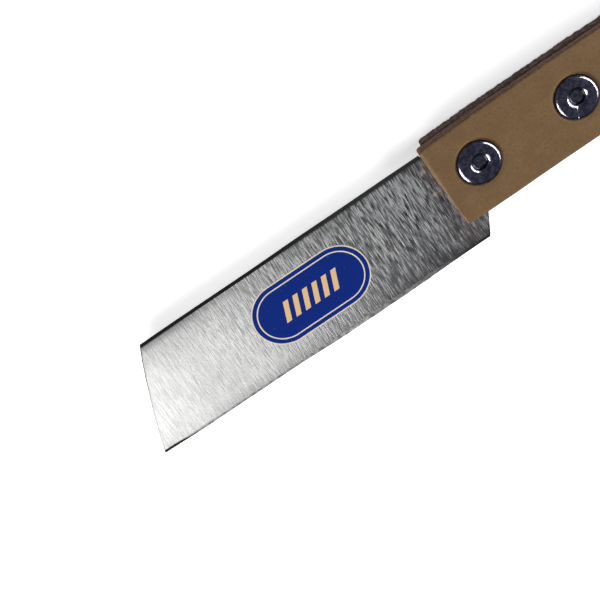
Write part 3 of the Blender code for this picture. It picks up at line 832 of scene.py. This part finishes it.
def tanLeather():
    finish = Finish("tanLeather")
    x, y, z = finish.axes()
    fromGrip, across, up = (x - gripFront) / mm, y / mm, (z - middleZ) / mm
    faceX, faceZ = finish.facing()[::2]
    spot = finish.place()
    pores = finish.add("TexVoronoi", {"feature": "F1"}, {"Vector": spot, "Scale": leather["pores"]}, "Distance")
    grain = finish.noise(spot, **leather["grain"])
    mottle = finish.noise(spot, **leather["mottle"])
    fibres = finish.noise(finish.place(scale=leather["fibres"]), rough=0.6)
    flecks = finish.noise(finish.place(scale=leather["flecks"], shift=leather["fleckShift"]), detail=2.0)
    face = finish.mix(finish.band(mottle, *leather["mottleSpan"]), leather["faceDark"], leather["facePale"])
    face = finish.mix(finish.band(grain, *leather["grainSpan"]), face, leather["grainTone"])
    side = finish.mix(finish.band(fibres, *leather["fibreSpan"]), leather["sideDark"], leather["sidePale"])
    side = finish.mix(finish.band(up, *leather["farUp"]), side, leather["farTone"])
    upright = finish.band(faceZ * faceZ, *leather["uprightFacing"])
    colour = finish.mix(upright, face, side)
    colour = finish.mix(finish.band(faceX, *leather["frontFacing"]), colour, leather["frontTone"])
    frayed = finish.band(fromGrip - finish.band(across, *leather["frayBack"]), *leather["frayed"])
    for span in leather["frayAcross"]:
        frayed = frayed * finish.band(across, *span)
    colour = finish.mix(frayed * finish.band(grain, *leather["frayGrain"]), colour, leather["frayTone"])
    # painted shadow along the seam between the two scales
    fromSeam = finish.add("Math", {"operation": "ABSOLUTE"}, {0: up - leather["seamUp"]})
    colour = finish.mix(finish.band(fromSeam, *leather["seamShadowSpan"]) * upright, colour, leather["seamShadowTone"])
    flecked = finish.band(flecks, *leather["fleckSpan"]) * upright * finish.band(up, *leather["fleckUp"])
    colour = finish.mix(flecked, colour, leather["fleckTone"])
    for centre in rivetCentres:
        reach = finish.reach(centre.x, centre.y)
        # painted light: a paler ring on the face round each rivet, against the shade of the dent
        lightened = finish.band(reach, *leather["litRingReach"]) * (1 - upright)
        colour = finish.mix(lightened, colour, leather["litRingTone"])
        # painted shade in the crease where the leather meets each ring
        colour = finish.mix(finish.band(reach, *leather["creaseShadeReach"]), colour, leather["grimeShadeTone"])
    plainRough, grainRough = leather["rough"]
    normal = finish.bump(grain * leather["grainShare"] + pores * leather["poreShare"], *leather["grainBump"])
    normal = finish.bump(fibres * upright, *leather["fibreBump"], normal)
    return finish.shader(Base_Color=colour, Roughness=plainRough + grain * grainRough, Normal=normal,
                         Specular_IOR_Level=leather["gloss"])


# even skin of small faces over a CAD node
def skinShape(nodeName):
    shape = nodeShape(nodeName)
    mesh = bpy.data.meshes.new("draft")
    shape.to_mesh(mesh)
    shape.free()
    draft = bpy.data.objects.new("draft", mesh)
    scene.collection.objects.link(draft)
    skin = draft.modifiers.new("skin", "REMESH")
    skin.mode = "VOXEL"
    skin.voxel_size = leather["voxel"]
    skinned = bpy.data.meshes.new_from_object(draft.evaluated_get(bpy.context.evaluated_depsgraph_get()))
    bpy.data.objects.remove(draft)
    shape = bmesh.new()
    shape.from_mesh(skinned)
    for turn in range(leather["smoothings"]):
        bmesh.ops.smooth_vert(shape, verts=shape.verts, factor=0.5,
                              use_axis_x=True, use_axis_y=True, use_axis_z=True)
    shape.normal_update()
    return shape


# 1 at a scale's upper or lower edge, fading over the rim's depth
def nearEdge(y, edge, inward):
    far, near = leather["rim"]
    return ease(y, edge + inward * far, edge + inward * near)


def bendNear(vert, low, high):
    pairs = [(vert.co.xy - centre.xy, lean) for centre, lean in zip(rivetCentres, rivet["lean"])]
    aside, lean = min(pairs, key=lambda pair: pair[0].length)
    follow = 1 - ease(aside.length, *leather["pressSpan"])
    follow *= ease(vert.co.z, low.z, high.z - leather["pressDepth"])
    vert.co.x += lean * follow
    if aside.length > leather["pressFrom"]:
        vert.co.xy -= aside.normalized() * leather["press"] * follow
    fromGrip = vert.co.x - gripFront
    atFront = leather["frontRiseLow"]
    rise = leather["frontRise"] * (atFront + (1 - atFront) * ease(fromGrip, *leather["frontRiseSpan"]))
    rise += (leather["topRise"] - leather["frontRise"]) * ease(fromGrip, *leather["riseSpan"])
    rise = leather["seamRise"] + (rise - leather["seamRise"]) * ease(vert.co.z, low.z, high.z)
    rise *= 1 - ease(fromGrip, *leather["riseEnd"])
    vert.co.y += rise * nearEdge(vert.co.y, high.y, -1)
    sag = leather["frontSag"] * hump(fromGrip, leather["sagMiddle"], leather["sagWidth"])
    vert.co.y -= sag * nearEdge(vert.co.y, low.y, 1)
    below, above = leather["frontSkew"]
    skew = below + (above - below) * slide(vert.co.y - low.y, *leather["skewSpan"])
    vert.co.x += skew * (1 - ease(fromGrip, 0.0, leather["skewDepth"]))


def bendFar(vert, high):
    fromGrip = vert.co.x - gripFront
    dip = -leather["farDip"] * hump(fromGrip, leather["dipMiddle"], leather["dipWidth"])
    swell = leather["farSwell"] * ease(fromGrip, *leather["swellSpan"])
    dip += swell * (1 - ease(fromGrip, *leather["riseEnd"]))
    vert.co.y += dip * nearEdge(vert.co.y, high.y, -1)


def makeScale(nodeName, pieceName, material):
    shape = skinShape(nodeName)
    low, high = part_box(nodeName)
    outerSide = 1.0 if low.z + high.z > 2 * middleZ else -1.0
    for vert in shape.verts:
        wave = noise.noise(vert.co / leather["waveLength"] + Vector((0, 0, leather["waveRow"] * outerSide)))
        flat = abs(vert.normal.z)
        fuzz = noise.noise(vert.co / leather["fuzzLength"]) * leather["fuzz"] * max(0.0, vert.normal.y)
        vert.co += vert.normal * (wave * (leather["edgeWave"] * (1 - flat) + leather["faceWave"] * flat) + fuzz)
        if outerSide > 0:
            bendNear(vert, low, high)
        else:
            bendFar(vert, high)
        if vert.normal.z * outerSide > leather["outerFacing"]:
            reach = min((vert.co.xy - centre.xy).length for centre in rivetCentres)
            vert.co.z += outerSide * leather["puff"] * hump(reach, leather["puffRadius"], leather["puffWidth"])
    piece = makePiece(shape, pieceName, material, "tan_leather", nodeName)
    print(pieceName + ":", len(piece.data.polygons), "faces")


# rivets: a rolled ring round a crater on the near side, a low head on the far side
rivet = {
    "mouth": 3.45 * mm,       # radius at which the crater starts
    "mouthRound": 1.5 * mm,
    "craterDepth": 1.6 * mm,
    "craterRings": (0.0, 0.5, 0.8, 1.0),     # of faces on its floor, as shares of the bore
    "rimRound": 1.25 * mm,
    "rimTuck": 0.2,           # radians that the rim turns in under the ring
    "crestFall": 0.06 * mm,   # of the ring's crest towards its rim
    "seatDepth": 0.3 * mm,    # of the ring and the head in the leather
    "seatInset": 0.6 * mm,
    "wall": 1.1 * mm,         # of the tube
    "headInset": 0.3 * mm,
    "crown": 2.5 * mm,        # radius of the head's flat crown
    "arcSteps": 12,
    "turnSteps": 192,
    "sharpFrom": math.radians(40),
    "wobble": 0.03 * mm,
    "wobbleLength": 3 * mm,
    "wobbleSeed": 3.7,
    "craters": [(0.23, 0.0, 1.0), (0.1, 0.12, 1.03), (-0.2, 0.3, 1.05)],   # shift in mm and size of each
    "craterSpan": (5.0 * mm, 3.0 * mm),      # radii over which the ring follows its crater
    "lean": [0.12 * mm, 0.25 * mm, 0.1 * mm],      # of each rolled end towards the butt
    "leanFrom": 1.0 * mm,            # below the near face
    "split": math.radians(-119),     # where the middle rivet's ring has split
    "splitDepth": 0.22 * mm,
    "splitWidth": 0.16 * mm,
    "splitSpan": (2.4 * mm, 3.4 * mm),

    # their plating
    "scuffs": (700, 700, 700),
    "scuffSpan": (0.38, 0.62),
    "scuffFacing": (-0.5, 0.2, 0.25, 1.0),       # less on the far heads
    "pale": (0.66, 0.65, 0.79),
    "scuffed": (0.19, 0.185, 0.235),
    "steepFacing": (0.64, 0.36),
    "lowerFacing": (-0.13, -0.30),
    "grimeAndShade": 0.92,                     # painted shade where the ring turns down and on its lower side
    "grimeShadeTone": (0.022, 0.022, 0.026),
    "roughSpan": (0.45, 0.75, 0.15, 0.27),
    "dents": 420.0,
    "dentBump": (0.12 * mm, 0.2),      # depth and strength
}


def nickelPlate():
    finish = Finish("nickelPlate")
    scuffs = finish.noise(finish.place(scale=rivet["scuffs"]), rough=0.7)
    dents = finish.noise(finish.place(), rivet["dents"], 2.0)
    faceY, faceZ = finish.facing()[1:]
    scuffed = finish.band(scuffs, *rivet["scuffSpan"]) * finish.band(faceZ, *rivet["scuffFacing"])
    colour = finish.mix(scuffed, rivet["pale"], rivet["scuffed"])
    # painted shade: darker plating where the ring turns down and on its lower side, which also hides the
    # reflection of the pale surround there
    steep = finish.band(faceZ * faceZ, *rivet["steepFacing"])
    lower = finish.band(faceY, *rivet["lowerFacing"]) * (1 - steep)
    colour = finish.mix((steep + lower) * rivet["grimeAndShade"], colour, rivet["grimeShadeTone"])
    rough = finish.band(scuffs, *rivet["roughSpan"])
    normal = finish.bump(dents, *rivet["dentBump"])
    return finish.shader(Base_Color=colour, Metallic=1.0, Roughness=rough, Normal=normal)


def arcPoints(centre, radius, start, end):
    steps = rivet["arcSteps"]
    angles = [start + (end - start) * step / steps for step in range(steps + 1)]
    return [(centre[0] + radius * math.cos(angle), centre[1] + radius * math.sin(angle)) for angle in angles]


def rivetProfile(low, high):
    outer = (high.x - low.x) / 2
    top, bottom = high.z, low.z
    seat = nearHigh.z - rivet["seatDepth"]
    headSeat = farLow.z + rivet["seatDepth"]
    mouth = (rivet["mouth"], top - rivet["mouthRound"])
    rim = (outer - rivet["rimRound"], top - rivet["crestFall"] - rivet["rimRound"])
    bore = rivet["mouth"] - rivet["mouthRound"]
    shank = bore + rivet["wall"]
    head = outer - rivet["headInset"]
    floor = top - rivet["craterDepth"]
    points = [(bore * share, floor) for share in rivet["craterRings"]]
    points += arcPoints(mouth, rivet["mouthRound"], math.pi, math.pi / 2)
    points += arcPoints(rim, rivet["rimRound"], math.pi / 2, -rivet["rimTuck"])
    points += [(outer - rivet["seatInset"], seat), (shank, seat), (shank, headSeat), (head, headSeat)]
    for step in range(1, rivet["arcSteps"] + 1):
        turn = math.pi / 2 * step / rivet["arcSteps"]
        radius = rivet["crown"] + (head - rivet["crown"]) * math.cos(turn)
        points.append((radius, bottom + (headSeat - bottom) * (1 - math.sin(turn))))
    return points + [(0.0, bottom)]


def makeRivet(nodeName, pieceName, material, seed, crater, lean):
    low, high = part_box(nodeName)
    centre = (low + high) / 2
    leanLevel = nearHigh.z - rivet["leanFrom"]
    shape = bmesh.new()
    line = [shape.verts.new((radius, 0.0, height)) for radius, height in rivetProfile(low, high)]
    for first, second in zip(line, line[1:]):
        shape.edges.new((first, second))
    bmesh.ops.spin(shape, geom=[*shape.verts, *shape.edges], cent=(0, 0, 0), axis=(0, 0, 1), angle=2 * math.pi,
                   steps=rivet["turnSteps"], use_merge=True, use_duplicate=False)
    bmesh.ops.remove_doubles(shape, verts=shape.verts, dist=mergeGap)
    bmesh.ops.recalc_face_normals(shape, faces=shape.faces)
    shiftX, shiftY, widening = crater
    splitLine = Vector((math.cos(rivet["split"]), math.sin(rivet["split"])))
    for vert in shape.verts:
        reach = vert.co.xy.length
        if vert.co.z > leanLevel:
            inside = slide(reach, *rivet["craterSpan"])
            vert.co.xy *= 1 + (widening - 1) * inside
            vert.co.x += shiftX * mm * inside + lean
            vert.co.y += shiftY * mm * inside
            fromRing = Vector((vert.co.x - lean, vert.co.y))
            if nodeName == "middle_rivet" and fromRing.dot(splitLine) > 0:
                deep = slide(reach, *rivet["splitSpan"])
                vert.co.z -= rivet["splitDepth"] * deep * hump(fromRing.cross(splitLine), 0.0, rivet["splitWidth"])
        if vert.co.z > middleZ and reach > mergeGap:
            spot = vert.co.xy / rivet["wobbleLength"]
            wave = noise.noise(Vector((spot.x, spot.y, seed)))
            vert.co.z += rivet["wobble"] * wave * min(1.0, reach / rivet["wobbleLength"])
    bmesh.ops.translate(shape, verts=shape.verts, vec=(centre.x, centre.y, 0.0))
    piece = makePiece(shape, pieceName, material, "nickel_plate", nodeName)
    piece.data.set_sharp_from_angle(angle=rivet["sharpFrom"])
    print(pieceName + ":", len(piece.data.polygons), "faces")


makeCamera()
makeLights()
makeSurround()
makeFloor()
print("camera, lights and floor set")
makeBlade()
makePanel()
leatherFinish = tanLeather()
makeScale("near_scale", "nearLeather", leatherFinish)
makeScale("far_scale", "farLeather", leatherFinish)
nickelFinish = nickelPlate()
for index, nodeName in enumerate(rivetNames):
    makeRivet(nodeName, nodeName.replace("_rivet", "TubeRivet"), nickelFinish, index * rivet["wobbleSeed"],
              rivet["craters"][index], rivet["lean"][index])

scene.view_settings.view_transform = "Standard"
